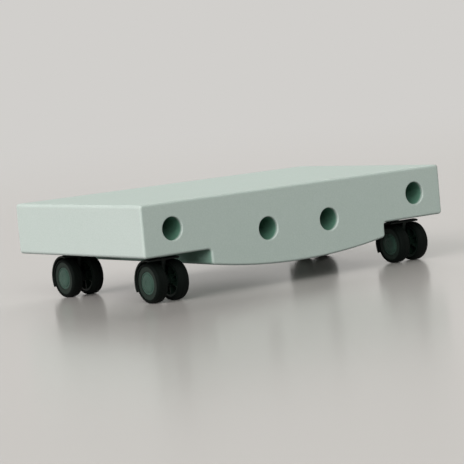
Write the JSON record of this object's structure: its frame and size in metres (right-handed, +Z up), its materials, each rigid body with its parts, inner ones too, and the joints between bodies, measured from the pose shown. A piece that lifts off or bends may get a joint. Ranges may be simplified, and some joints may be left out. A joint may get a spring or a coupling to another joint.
{
  "type": "scooter board",
  "caption": "Child's floor scooter board: a foam deck with a deep bowed middle and holes bored across it, on swivelling twin-wheel casters.",
  "frame": {"origin": "on the floor, under the middle of the deck, with every wheel resting on the floor", "axes": "+Z up; +X along the deck towards its rear end, so the front end is at -X; +Y across the deck towards its right side"},
  "size_m": [0.47, 0.295, 0.123],
  "materials": {
    "foam": "matte",
    "rail_plastic": "satin",
    "hood_plastic": "satin",
    "wheel_plastic": "satin",
    "cap_plastic": "satin",
    "tread_rubber": "matte",
    "zinc_steel": "satin"
  },
  "bodies": {
    "deck": {"deck": "foam", "front_rail": "rail_plastic", "rear_rail": "rail_plastic", "front_left_plate": "zinc_steel", "front_left_kingpin": "zinc_steel", "front_left_screw_1": "zinc_steel", "front_left_screw_2": "zinc_steel", "front_left_screw_3": "zinc_steel", "front_left_screw_4": "zinc_steel", "front_right_plate": "zinc_steel", "front_right_kingpin": "zinc_steel", "front_right_screw_1": "zinc_steel", "front_right_screw_2": "zinc_steel", "front_right_screw_3": "zinc_steel", "front_right_screw_4": "zinc_steel", "rear_left_plate": "zinc_steel", "rear_left_kingpin": "zinc_steel", "rear_left_screw_1": "zinc_steel", "rear_left_screw_2": "zinc_steel", "rear_left_screw_3": "zinc_steel", "rear_left_screw_4": "zinc_steel", "rear_right_plate": "zinc_steel", "rear_right_kingpin": "zinc_steel", "rear_right_screw_1": "zinc_steel", "rear_right_screw_2": "zinc_steel", "rear_right_screw_3": "zinc_steel", "rear_right_screw_4": "zinc_steel"},
    "front_left_caster": {"front_left_hood": "hood_plastic", "front_left_axle": "zinc_steel"},
    "front_left_fore_roller": {"front_left_fore_wheel": "wheel_plastic", "front_left_fore_tread": "tread_rubber", "front_left_fore_cap": "cap_plastic"},
    "front_left_aft_roller": {"front_left_aft_wheel": "wheel_plastic", "front_left_aft_tread": "tread_rubber", "front_left_aft_cap": "cap_plastic"},
    "front_right_caster": {"front_right_hood": "hood_plastic", "front_right_axle": "zinc_steel"},
    "front_right_fore_roller": {"front_right_fore_wheel": "wheel_plastic", "front_right_fore_tread": "tread_rubber", "front_right_fore_cap": "cap_plastic"},
    "front_right_aft_roller": {"front_right_aft_wheel": "wheel_plastic", "front_right_aft_tread": "tread_rubber", "front_right_aft_cap": "cap_plastic"},
    "rear_left_caster": {"rear_left_hood": "hood_plastic", "rear_left_axle": "zinc_steel"},
    "rear_left_fore_roller": {"rear_left_fore_wheel": "wheel_plastic", "rear_left_fore_tread": "tread_rubber", "rear_left_fore_cap": "cap_plastic"},
    "rear_left_aft_roller": {"rear_left_aft_wheel": "wheel_plastic", "rear_left_aft_tread": "tread_rubber", "rear_left_aft_cap": "cap_plastic"},
    "rear_right_caster": {"rear_right_hood": "hood_plastic", "rear_right_axle": "zinc_steel"},
    "rear_right_fore_roller": {"rear_right_fore_wheel": "wheel_plastic", "rear_right_fore_tread": "tread_rubber", "rear_right_fore_cap": "cap_plastic"},
    "rear_right_aft_roller": {"rear_right_aft_wheel": "wheel_plastic", "rear_right_aft_tread": "tread_rubber", "rear_right_aft_cap": "cap_plastic"}
  },
  "joints": [
    {"name": "front_left_swivel", "type": "hinge", "parent": "deck", "child": "front_left_caster", "pos_m": [-0.191, -0.0975, 0.0552], "axis": [0, 0, 1], "continuous": true},
    {"name": "front_left_fore_spin", "type": "hinge", "parent": "front_left_caster", "child": "front_left_fore_roller", "pos_m": [-0.2065, -0.1155, 0.025], "axis": [1, 0, 0], "continuous": true},
    {"name": "front_left_aft_spin", "type": "hinge", "parent": "front_left_caster", "child": "front_left_aft_roller", "pos_m": [-0.1755, -0.1155, 0.025], "axis": [1, 0, 0], "continuous": true},
    {"name": "front_right_swivel", "type": "hinge", "parent": "deck", "child": "front_right_caster", "pos_m": [-0.191, 0.0975, 0.0552], "axis": [0, 0, 1], "continuous": true},
    {"name": "front_right_fore_spin", "type": "hinge", "parent": "front_right_caster", "child": "front_right_fore_roller", "pos_m": [-0.2065, 0.0795, 0.025], "axis": [1, 0, 0], "continuous": true},
    {"name": "front_right_aft_spin", "type": "hinge", "parent": "front_right_caster", "child": "front_right_aft_roller", "pos_m": [-0.1755, 0.0795, 0.025], "axis": [1, 0, 0], "continuous": true},
    {"name": "rear_left_swivel", "type": "hinge", "parent": "deck", "child": "rear_left_caster", "pos_m": [0.191, -0.0975, 0.0552], "axis": [0, 0, 1], "continuous": true},
    {"name": "rear_left_fore_spin", "type": "hinge", "parent": "rear_left_caster", "child": "rear_left_fore_roller", "pos_m": [0.1755, -0.1155, 0.025], "axis": [1, 0, 0], "continuous": true},
    {"name": "rear_left_aft_spin", "type": "hinge", "parent": "rear_left_caster", "child": "rear_left_aft_roller", "pos_m": [0.2065, -0.1155, 0.025], "axis": [1, 0, 0], "continuous": true},
    {"name": "rear_right_swivel", "type": "hinge", "parent": "deck", "child": "rear_right_caster", "pos_m": [0.191, 0.0975, 0.0552], "axis": [0, 0, 1], "continuous": true},
    {"name": "rear_right_fore_spin", "type": "hinge", "parent": "rear_right_caster", "child": "rear_right_fore_roller", "pos_m": [0.1755, 0.0795, 0.025], "axis": [1, 0, 0], "continuous": true},
    {"name": "rear_right_aft_spin", "type": "hinge", "parent": "rear_right_caster", "child": "rear_right_aft_roller", "pos_m": [0.2065, 0.0795, 0.025], "axis": [1, 0, 0], "continuous": true}
  ]
}
